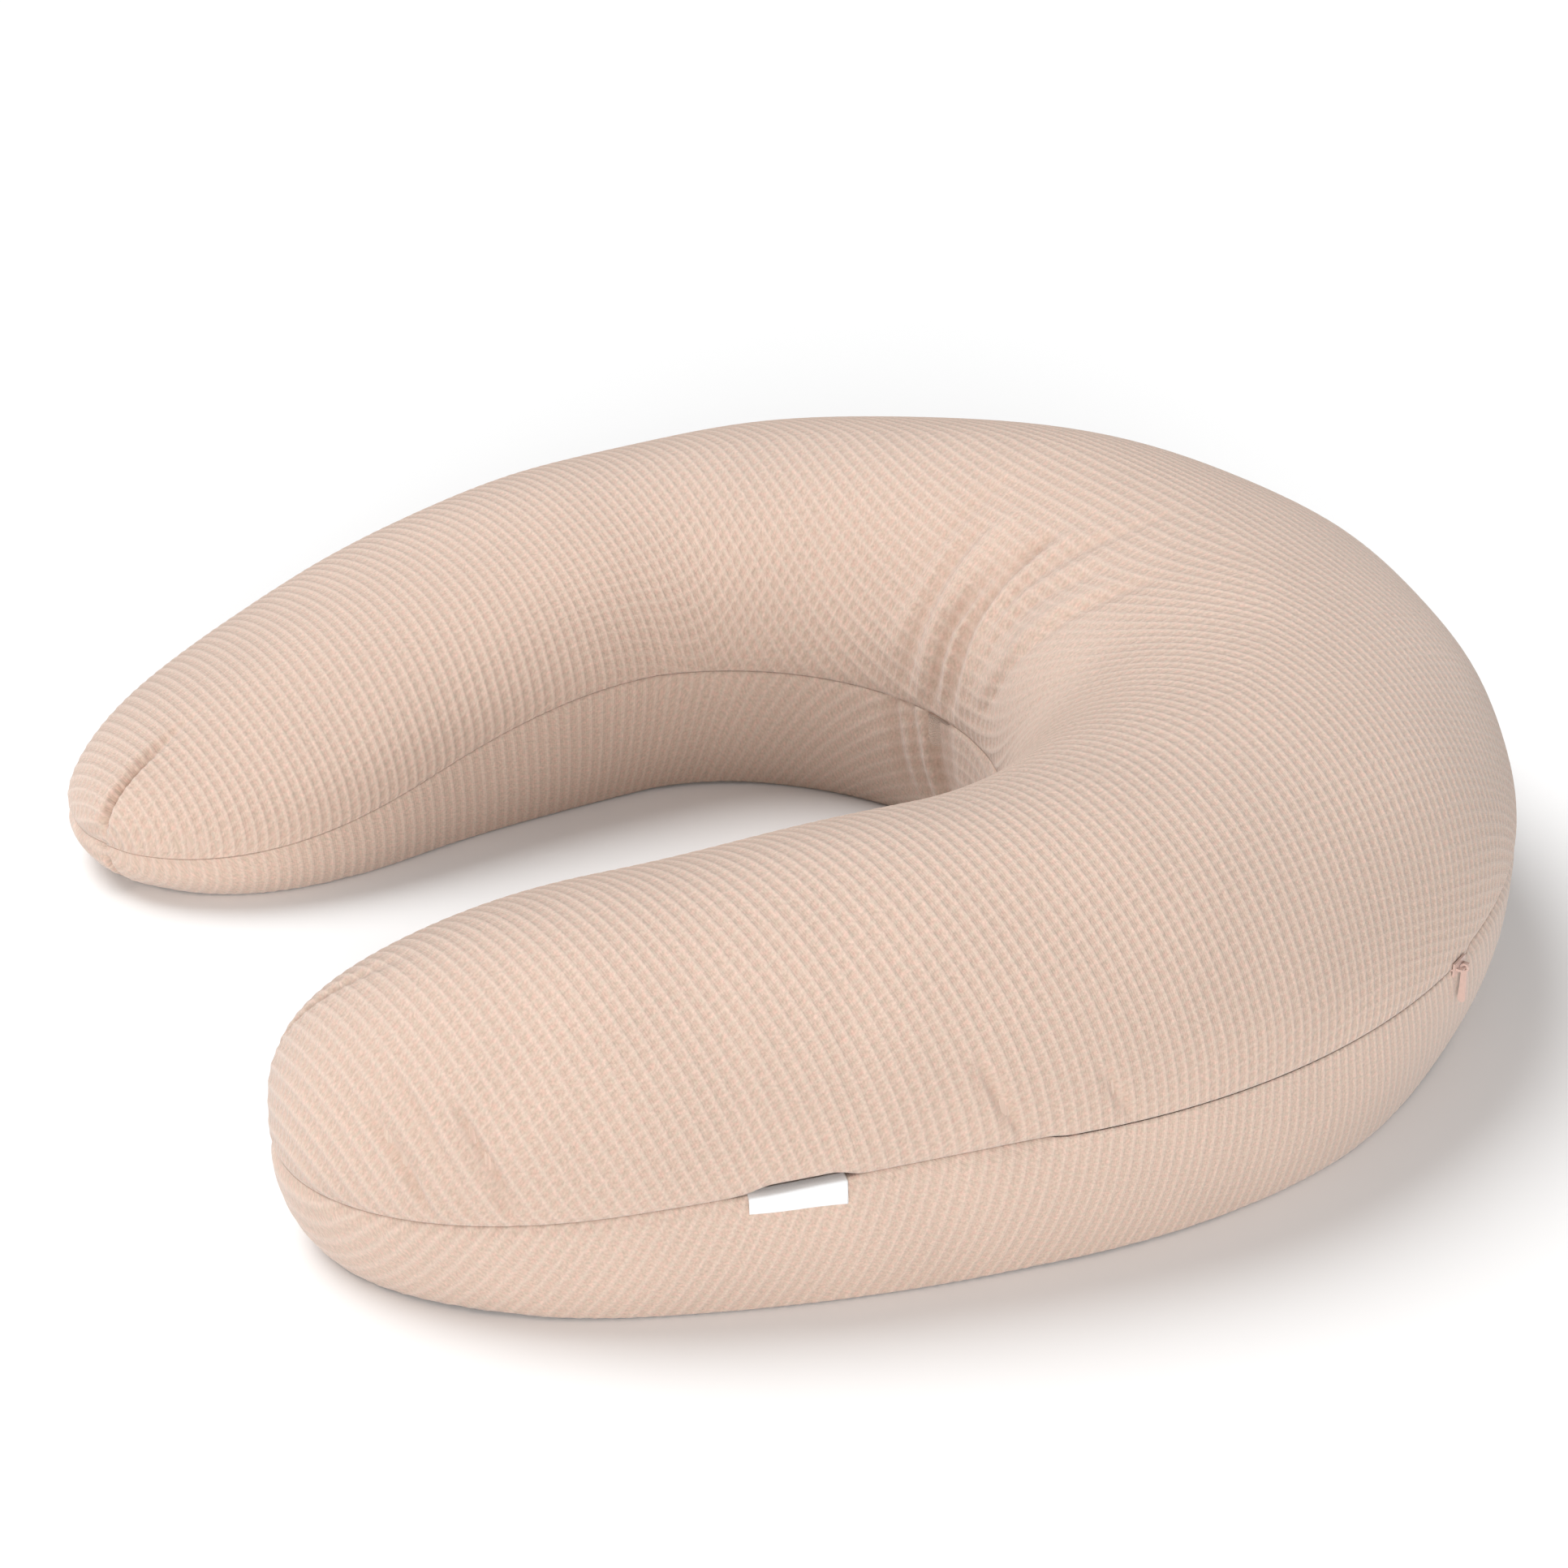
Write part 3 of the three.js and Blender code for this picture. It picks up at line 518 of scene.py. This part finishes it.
def sewnPanel(name, up, layer, step, rowStep):
    s = spineStations(step)
    angles = evenAngles(up, rowStep)
    sGrid, aGrid = overGrid(s, angles)
    crest = int(np.argmin(np.abs(angles - np.pi / 2)))
    base = skinAt(sGrid, aGrid, up, layer["inset"], layer["skin"], 0.0)
    signedArc, fromSeam = arcFields(base, crest)
    outerSide = aGrid < np.pi / 2
    pinch = layer["pinch"] * bell(fromSeam, layer["pinchWidth"])
    atZip = fadeRound(sGrid, zipSpan, *marginSet["zipPinch"])
    pinch = np.where(outerSide, pinch * (1 - coverKnit["zipPinch"] * atZip), pinch * coverKnit["innerPinch"])
    gaps = rimGap(s, layer, up)
    start = np.where(outerSide, gaps[0][:, None], gaps[1][:, None])
    skin = skinAt(sGrid, aGrid, up, layer["inset"] + pinch, layer["skin"], start)
    normal = outwardNormals(skin, up)
    seamFade = 1 - bell(fromSeam, coverKnit["seamFade"])
    folds = foldRelief(base, up)
    tipFade = awayFromTips(sGrid)
    relief = (swellRelief(sGrid, base, fromSeam, up) + folds) * tipFade
    cloth = fabricCut(sGrid, base, signedArc)
    stretched = 1 / (1 + (folds / foldSet["flatten"]) ** 2)
    if layer["knit"]:
        phase = 2 * np.pi * cloth / np.array([coverKnit["ribPitch"], coverKnit["rowPitch"]])
        rib, row = 0.5 + 0.5 * np.cos(phase[..., 0]), 0.5 + 0.5 * np.cos(phase[..., 1])
        depth = coverKnit["latticeRelief"] * (1.0 if up > 0 else coverKnit["baseRelief"])
        atBend, onArms = coverKnit["rowShareBend"], coverKnit["rowShareArms"]
        rowShare = atBend + (onArms - atBend) * fadeBetween(np.abs(sGrid), *coverKnit["bendRows"])
        lattice = 1 - (1 - rib ** 2) * (1 - rowShare * row ** 2)
        relief = relief + depth * seamFade * tipFade * stretched * (lattice - 0.5)
    skin = skin + normal * relief[..., None]
    skin[..., 2] = np.maximum(skin[..., 2], layer["skin"])
    rows = [skin[:, j] for j in range(skin.shape[1])]
    cut = [cloth[:, j] for j in range(skin.shape[1])]

    # The seam allowance turns in at each rim, and the inside follows the outside a wall further in.
    wall, allowance = layer["wall"], layer["allowance"]
    rimPinch = [pinch[:, 0], pinch[:, -1]]
    iGrid, jGrid = overGrid(s, np.linspace(0, np.pi, coverKnit["insideAngles"])[1:-1])
    innerStart = np.full_like(iGrid, layer["lipGap"] + wall)
    inner = skinAt(iGrid, jGrid, up, layer["inset"] + wall, layer["skin"] + wall, innerStart)
    innerRelief = softRelief(iGrid, inner, up) * awayFromTips(iGrid)
    inner = inner + outwardNormals(inner, up) * innerRelief[..., None]
    inner[..., 2] = np.maximum(inner[..., 2], layer["skin"] + wall)

    def lip(side, rim):
        gap = gaps[rim]
        clear = lipClear(s, layer, side)
        deep = np.maximum(np.minimum(gap, coverKnit["zipSlit"]), clear)
        edge = layer["inset"] + rimPinch[rim]
        end = np.full_like(s, layer["inset"] + wall + allowance)
        return [rimAt(s, edge + wall * 0.9, side, up * gap),
                rimAt(s, edge + wall, side, up * np.maximum(gap, clear)),
                rimAt(s, end, side, up * deep),
                rimAt(s, end, side, up * (deep + wall)),
                rimAt(s, edge + wall + 0.3, side, up * (np.maximum(gap, clear) + wall))]

    loop = rows + lip(-1, 1) + [inner[:, j] for j in range(inner.shape[1])][::-1] + lip(1, 0)[::-1]
    loop.append(loop[0])
    cut += [cloth[:, -1]] * 5 + [cloth[:, len(angles) // 2]] * inner.shape[1] + [cloth[:, 0]] * 5 + [cloth[:, 0]]
    relaxed = np.ones(np.stack(cut, 1).shape[:2])
    relaxed[:, :len(angles)] = stretched
    # how deep each fold's hollow is, carried to the material as painted shade
    foldShade = np.zeros_like(relaxed)
    foldShade[:, :len(angles)] = np.clip(-folds / foldSet["foldShade"], 0, 1)
    return gridPiece(name, np.stack(loop, 1), np.stack(cut, 1), [("relaxed", relaxed), ("foldShade", foldShade)])


def rimGap(s, layer, up):  # half of the slit between the panels, on the outer rim and on the inner one
    if not layer["knit"]:
        return np.full_like(s, layer["lipGap"]), np.full_like(s, layer["lipGap"])
    inZip = fadeRound(s, zipSpan, *marginSet["zipSlit"])
    inLabel = fadeRound(s, labelSpan, *marginSet["labelSlit"])
    leadFrom, lead, (outerZip, innerZip) = coverKnit["leadFrom"], marginSet["lead"], marginSet["zipSlit"]
    inLead = fadeBetween(s, leadFrom - lead, leadFrom + lead)  # the slit starts to show before the zip
    inLead = inLead * (1 - fadeBetween(s, zipSpan[0] - outerZip, zipSpan[0] - innerZip))
    plain = coverKnit["slit"]
    outer = plain + (coverKnit["zipSlit"] - plain) * inZip + (coverKnit["labelSlit"] - plain) * inLabel
    outer = outer + (coverKnit["leadSlit"] - plain) * inLead
    if up > 0:  # the upper rim stands up over the label
        (riseBefore, riseAfter), (fallBefore, fallAfter) = marginSet["pocketRise"], marginSet["pocketFall"]
        rising = fadeBetween(s, labelSpan[0] - riseBefore, labelSpan[0] + riseAfter)
        falling = fadeBetween(s, labelSpan[1] - fallBefore, labelSpan[1] + fallAfter)
        outer = outer + coverKnit["pocket"] * rising * (1 - falling)
    return outer, np.full_like(s, plain)


def lipClear(s, layer, side):  # the allowance stands clear of the zip that it carries
    if not layer["knit"] or side < 0:
        return np.zeros_like(s)
    return coverKnit["zipClear"] * fadeRound(s, zipSpan, *marginSet["zipClear"])


def awayFromTips(s):
    fade = 1 - bell(halfLength - np.abs(s), coverKnit["tipFade"])
    fade[np.abs(s) > halfLength - 0.01] = 0
    return fade


def swellRelief(s, points, fromSeam, up):
    swell = coverKnit["swell"] * drift(points, coverKnit["swellSize"], 11 if up > 0 else 12)
    return swell * fadeBetween(fromSeam, *marginSet["swell"]) + darts(s, points, up)


def softRelief(s, points, up):  # everything but the lattice, for places well away from the seam
    return swellRelief(s, points, np.full_like(s, marginSet["farFromSeam"]), up) + foldRelief(points, up)


dartSet = {"depth": 5.8, "width": 2.5, "narrowest": 0.7, "widening": 0.012, "nearShare": 0.45,
           "reachTop": 74.0, "reachBase": 46.0, "puff": 1.6, "puffWidth": 15.0}


def darts(s, points, up):
    spine, outward, _, _ = placeAt(s, 0.0)
    across = ((points[..., :2] - spine) * outward).sum(-1)
    reach = dartSet["reachTop"] if up > 0 else dartSet["reachBase"]
    fromTip = halfLength - np.abs(s)
    share = 1 - fadeBetween(fromTip, reach * 0.1, reach)
    share = share * np.where(s > 0, 1.0, dartSet["nearShare"])  # the far tip is pulled in the most
    crease = bell(across, dartSet["width"] * (dartSet["narrowest"] + dartSet["widening"] * fromTip))
    puff = dartSet["puff"] * bell(across, dartSet["puffWidth"])
    return share * (puff - (dartSet["depth"] + dartSet["puff"]) * crease)


def gridPiece(name, points, cut, fields=()):  # a net of points, its place on the flat cloth, and values for materials
    columns, rows = points.shape[:2]
    bm = bmesh.new()
    bmesh.ops.create_grid(bm, x_segments=columns - 1, y_segments=rows - 1, size=0.5)
    piece = meshObject(name, bm)
    mesh = piece.data
    flat = np.empty(len(mesh.vertices) * 3)
    mesh.vertices.foreach_get("co", flat)
    flat = flat.reshape(-1, 3)
    i = np.rint((flat[:, 0] + 0.5) * (columns - 1)).astype(int)
    j = np.rint((flat[:, 1] + 0.5) * (rows - 1)).astype(int)
    mesh.vertices.foreach_set("co", ((points[i, j] + planShift) * mm).ravel())
    layer = mesh.uv_layers.new(name="fabricCut")
    corners = np.empty(len(mesh.loops), int)
    mesh.loops.foreach_get("vertex_index", corners)
    layer.data.foreach_set("uv", (cut[i, j][corners] * mm).ravel())
    for field, values in fields:
        mesh.attributes.new(field, "FLOAT", "POINT").data.foreach_set("value", values[i, j])
    bm = bmesh.new()
    bm.from_mesh(mesh)
    bmesh.ops.remove_doubles(bm, verts=bm.verts, dist=2e-6)
    bmesh.ops.dissolve_degenerate(bm, edges=bm.edges, dist=1e-7)
    bmesh.ops.recalc_face_normals(bm, faces=bm.faces)
    for face in bm.faces:
        face.smooth = True
    bm.to_mesh(mesh)
    bm.free()
    return piece


coverLayer = {"inset": 0.0, "skin": 0.0, "wall": 1.2, "allowance": 6.8, "lipGap": 0.15, "pinch": coverKnit["pinch"],
              "pinchWidth": coverKnit["pinchWidth"], "knit": True}
linerLayer = {"inset": 13.7, "skin": 1.7, "wall": 0.6, "allowance": 5.0, "lipGap": 0.15, "pinch": 0.0,
              "pinchWidth": 3.0, "knit": False}

labelSet = {"drop": (6.2, 10.0), "tuck": 6.0, "thickness": 0.35, "lean": 0.9, "wave": 0.3, "leansFrom": 1.5,
            "columns": 29}


def foldedLabel():  # a strip folded at its foot, with both ends sewn into the seam
    across = np.linspace(labelSpan[0], labelSpan[1], labelSet["columns"])
    share = (across - labelSpan[0]) / form["labelWidth"]
    drop = labelSet["drop"][0] + (labelSet["drop"][1] - labelSet["drop"][0]) * share
    out = labelSet["wave"] * np.sin(share * 2 * np.pi) + labelSet["lean"]
    path = [(labelSet["tuck"], 0.3), (3.2, 0.3), (1.6, 0.35), (0.7, 0.1), (0.1, -0.1), (-0.4, -0.3), (-0.75, -0.6),
            (-0.95, -0.85), (-0.95, -0.98), (-0.7, -1.0), (-0.45, -0.95), (-0.35, -0.6), (0.0, -0.3), (0.8, -0.12),
            (1.8, -0.05), (3.2, -0.1), (labelSet["tuck"], -0.1)]
    rows = []
    for inset, fall in path:  # in from the rim, and a height: below -0.2 it is a share of the drop
        height = fall * drop if fall <= -0.2 else np.full_like(across, fall)
        rows.append(rimAt(across, inset - out * (inset < labelSet["leansFrom"]), 1, height))
    rows = np.stack(rows, 1)
    steps = np.linalg.norm(np.diff(rows, axis=1), axis=2)
    along = np.concatenate([np.zeros((len(across), 1)), np.cumsum(steps, 1)], 1)
    cut = np.stack([np.repeat(across[:, None], len(path), 1), along], -1)
    piece = gridPiece("foldedLabel", rows, cut)
    soften = piece.modifiers.new("rounding", "SUBSURF")
    soften.levels = soften.render_levels = 1
    thick = piece.modifiers.new("thickness", "SOLIDIFY")
    thick.thickness = labelSet["thickness"] * mm
    thick.offset = 0
    return piece, float(along[:, -1].mean()) * mm


stitchSet = {"thickness": 0.28, "pitch": 3.0, "lift": 0.12, "reach": 34.0, "stations": 60}


def dartStitches():  # a run of thread down each dart, in the bottom of its crease
    curve = bpy.data.curves.new("dartStitches", "CURVE")
    curve.dimensions = "3D"
    curve.bevel_depth = stitchSet["thickness"] * mm
    curve.bevel_resolution = 2
    curve.use_fill_caps = True
    for end in (-1, 1):
        for up in (1, -1):
            fromTip = np.linspace(2.0, stitchSet["reach"], stitchSet["stations"])
            s = end * (halfLength - fromTip)
            angle = np.full_like(s, np.pi / 2)
            line = skinAt(s, angle, up, 0.0, 0.0, 0.0)
            ripple = stitchSet["lift"] * np.cos(2 * np.pi * fromTip / stitchSet["pitch"])
            lift = softRelief(s, line, up) + ripple
            side = placeAt(s, 0.0)[1]
            normal = np.cross(np.gradient(line, axis=0), np.concatenate([side, np.zeros((len(s), 1))], 1))
            normal /= np.linalg.norm(normal, axis=1, keepdims=True)
            normal *= np.sign(normal[:, 2:3]) * up
            line = (line + normal * lift[:, None] + planShift) * mm
            spline = curve.splines.new("POLY")
            spline.points.add(len(line) - 1)
            for point, place in zip(spline.points, line):
                point.co = (*place, 1.0)
    piece = bpy.data.objects.new("dartStitches", curve)
    bpy.context.scene.collection.objects.link(piece)
    return piece


fillingSet = {"inset": 21.5, "skin": 2.8, "step": 7.0, "rows": 41}


def fillingPiece():
    s = spineStations(fillingSet["step"])
    half = np.linspace(0, np.pi, fillingSet["rows"])
    loops = []
    for up, angles in ((1, half), (-1, half[::-1])):
        sGrid, aGrid = overGrid(s, angles)
        points = skinAt(sGrid, aGrid, up, fillingSet["inset"], fillingSet["skin"], np.zeros_like(sGrid))
        loops += [points[:, j] for j in range(points.shape[1])]
    loops = np.stack(loops, 1)
    return gridPiece("fillingFibre", loops, loops[..., :2])


def meshField(tree, name):  # a value that the piece carries at each point
    node = tree.nodes.new("ShaderNodeAttribute")
    node.attribute_name = name
    return node.outputs["Fac"]


knitSet = {
    "yarn": (0.60, 0.448, 0.36), "warm": (0.68, 0.448, 0.37), "cool": (0.545, 0.453, 0.355),
    # pit is a painted shade colour for the knit's pits and the hollows of folds; ridge is a painted highlight colour
    # for the raised ribs
    "pit": (0.42, 0.26, 0.185), "ridge": (0.74, 0.61, 0.53),
    "grain": 780.0, "heather": 1.0, "ridgeHighlight": 0.22, "hollowShade": 0.42, "fuzz": 0.35,
    "roughness": 0.95, "specular": 0.2, "sheen": 0.28, "sheenRoughness": 0.6,
    "upper": {"sharpness": 2.2, "rungs": 0.5, "bump": 0.0004, "pitShade": 0.18},
    "lower": {"sharpness": 2.0, "rungs": 0.2, "bump": 0.0003, "pitShade": 0.12},
}


def knitMaterial(name, panel):
    look = knitSet[panel]
    material, shader = newMaterial(name, knitSet["roughness"])
    tree = material.node_tree
    cut = tree.nodes.new("ShaderNodeUVMap")
    cut.uv_map = "fabricCut"
    knit = placeGroup(tree, waffle, cut.outputs[0], **{
        "Rib Pitch": coverKnit["ribPitch"] * mm, "Row Pitch": coverKnit["rowPitch"] * mm,
        "Sharpness": look["sharpness"], "Rungs": look["rungs"]})
    yarn = placeGroup(tree, heather, cut.outputs[0], Colour=shade(knitSet["yarn"]), Warm=shade(knitSet["warm"]),
                      Cool=shade(knitSet["cool"]), Grain=knitSet["grain"], Amount=knitSet["heather"])
    # painted shade: the knit's pits are darkened towards the pit colour
    pitShadeColour = shade(knitSet["pit"])
    flatten = meshField(tree, "relaxed")  # the lattice flattens where a fold stretches the cloth
    pitShadeShare = calc(tree, "MULTIPLY", calc(tree, "MULTIPLY", knit.outputs["Pit"], look["pitShade"]), flatten)
    shaded = mixColour(tree, pitShadeShare, yarn.outputs["Colour"], pitShadeColour)
    # painted shade: the hollows of folds are darkened towards the pit colour
    foldShadeShare = calc(tree, "MULTIPLY", meshField(tree, "foldShade"), knitSet["hollowShade"])
    shaded = mixColour(tree, foldShadeShare, shaded, pitShadeColour)
    # painted highlight: the raised ridges are lightened towards the ridge colour
    ridgeHighlightShare = calc(tree, "MULTIPLY", knit.outputs["Ridge"], knitSet["ridgeHighlight"])
    tree.links.new(mixColour(tree, ridgeHighlightShare, shaded, shade(knitSet["ridge"])), shader.inputs["Base Color"])
    lattice = calc(tree, "MULTIPLY", knit.outputs["Height"], flatten)
    height = calc(tree, "ADD", lattice, calc(tree, "MULTIPLY", yarn.outputs["Fuzz"], knitSet["fuzz"]))
    tree.links.new(bump(tree, height, look["bump"]), shader.inputs["Normal"])
    shader.inputs["Specular IOR Level"].default_value = knitSet["specular"]
    shader.inputs["Sheen Weight"].default_value = knitSet["sheen"]
    shader.inputs["Sheen Roughness"].default_value = knitSet["sheenRoughness"]
    return material


clothSet = {  # name, then three yarn colours, yarn pitch, fibre grain, heather, bump, roughness
    "thread": ("spunThread", (0.55, 0.42, 0.34), (0.6, 0.42, 0.34), (0.5, 0.42, 0.34),
               0.0005, 2500.0, 0.5, 0.00008, 0.9),
    "zip_tape": ("zipTapeWeave", (0.56, 0.43, 0.36), (0.6, 0.43, 0.36), (0.52, 0.43, 0.36),
                 0.0006, 1800.0, 0.4, 0.0001, 0.9),
    "zip_coil": ("coilNylon", (0.50, 0.37, 0.31), (0.53, 0.37, 0.31), (0.48, 0.37, 0.31),
                 0.0011, 900.0, 0.2, 0.00015, 0.45),
    "label_tape": ("labelSatin", (0.84, 0.84, 0.84), (0.86, 0.84, 0.82), (0.82, 0.84, 0.86),
                   0.0005, 1500.0, 0.15, 0.00006, 0.6),
    "liner_cloth": ("linerWeave", (0.80, 0.80, 0.78), (0.82, 0.80, 0.77), (0.78, 0.80, 0.79),
                    0.0007, 1200.0, 0.2, 0.00008, 0.9),
    "fibre_fill": ("fluffyFibre", (0.88, 0.88, 0.87), (0.9, 0.88, 0.86), (0.85, 0.87, 0.88),
                   0.003, 150.0, 0.4, 0.002, 0.9),
}
clothFuzz = 0.4
clothSpecular = 0.25


def clothMaterial(name, colour, warm, cool, pitch, grain, amount, bumpDepth, roughness):
    material, shader = newMaterial(name, roughness)
    tree = material.node_tree
    at = pieceCoordinates(tree)
    yarn = placeGroup(tree, heather, at, Colour=shade(colour), Warm=shade(warm), Cool=shade(cool), Grain=grain,
                      Amount=amount)
    tree.links.new(yarn.outputs["Colour"], shader.inputs["Base Color"])
    woven = placeGroup(tree, weave, at, Across=pitch, Along=pitch)
    height = calc(tree, "ADD", woven.outputs["Height"], calc(tree, "MULTIPLY", yarn.outputs["Fuzz"], clothFuzz))
    tree.links.new(bump(tree, height, bumpDepth), shader.inputs["Normal"])
    shader.inputs["Specular IOR Level"].default_value = clothSpecular
    return material


metalSet = {
    "colour": (0.66, 0.48, 0.42), "warm": (0.72, 0.53, 0.47), "cool": (0.60, 0.45, 0.40), "grain": 500.0, "wear": 0.25,
    "roughness": 0.25, "roughnessWear": 0.2, "metallic": 0.1, "ripple": (900.0, 0.00003),
}


def metalMaterial(name):
    material, shader = newMaterial(name, metalSet["roughness"], metalSet["metallic"])
    tree = material.node_tree
    at = pieceCoordinates(tree)
    worn = placeGroup(tree, heather, at, Colour=shade(metalSet["colour"]), Warm=shade(metalSet["warm"]),
                      Cool=shade(metalSet["cool"]), Grain=metalSet["grain"], Amount=metalSet["wear"])
    tree.links.new(worn.outputs["Colour"], shader.inputs["Base Color"])
    rough = calc(tree, "MULTIPLY_ADD", worn.outputs["Fuzz"], metalSet["roughnessWear"], metalSet["roughness"])
    tree.links.new(rough, shader.inputs["Roughness"])
    rippleScale, rippleDepth = metalSet["ripple"]
    tree.links.new(bump(tree, noise(tree, at, rippleScale), rippleDepth), shader.inputs["Normal"])
    return material


makeCamera()
makeLight()
makeFloor()
heather = makeHeatherGroup()
waffle = makeWaffleGroup()
weave = makeWeaveGroup()
print("stage: camera, light, floor and shared effects")

finishes = {slot: clothMaterial(*look) for slot, look in clothSet.items()}
finishes["cover_knit"] = knitMaterial("waffleKnitUpper", "upper")
finishes["zip_metal"] = metalMaterial("lacqueredZinc")
lowerKnit = knitMaterial("waffleKnitLower", "lower")

coverNet = {"step": 1.2, "row": 1.35}
linerNet = {"step": 6.0, "row": 7.0}
lowerRows = 1.3  # the lower panel's rows are coarser
upper = sewnPanel("coverUpper", 1, coverLayer, coverNet["step"], coverNet["row"])
upper.data.materials.append(finishes["cover_knit"])
lower = sewnPanel("coverLower", -1, coverLayer, coverNet["step"], coverNet["row"] * lowerRows)
lower.data.materials.append(lowerKnit)
for piece, node in ((upper, "cover_top_panel"), (lower, "cover_bottom_panel")):
    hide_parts(node)
    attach(piece, "pillow")
print("stage: cover", len(upper.data.polygons), len(lower.data.polygons))

for name, up, node in (("linerUpper", 1, "liner_top_panel"), ("linerLower", -1, "liner_bottom_panel")):
    piece = sewnPanel(name, up, linerLayer, linerNet["step"], linerNet["row"])
    piece.data.materials.append(finishes["liner_cloth"])
    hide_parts(node)
    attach(piece, "pillow")
stuffing = fillingPiece()
stuffing.data.materials.append(finishes["fibre_fill"])
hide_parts("filling")
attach(stuffing, "pillow")
print("stage: liner and filling")

label, labelLength = foldedLabel()
label.data.materials.append(finishes["label_tape"])
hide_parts("woven_label")
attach(label, "pillow")
stitches = dartStitches()
stitches.data.materials.append(finishes["thread"])
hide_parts("dart_thread_near_top", "dart_thread_near_bottom",
            "dart_thread_far_top", "dart_thread_far_bottom")
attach(stitches, "pillow")
print("stage: label and dart stitches")

slots = {part["node"]: part["material_slot"] for part in frame["record"]["subparts"]}
for name, node in frame["nodes"].items():
    node.data.materials.clear()
    node.data.materials.append(finishes[slots[name]])
print("stage: finishes of the kept pieces")
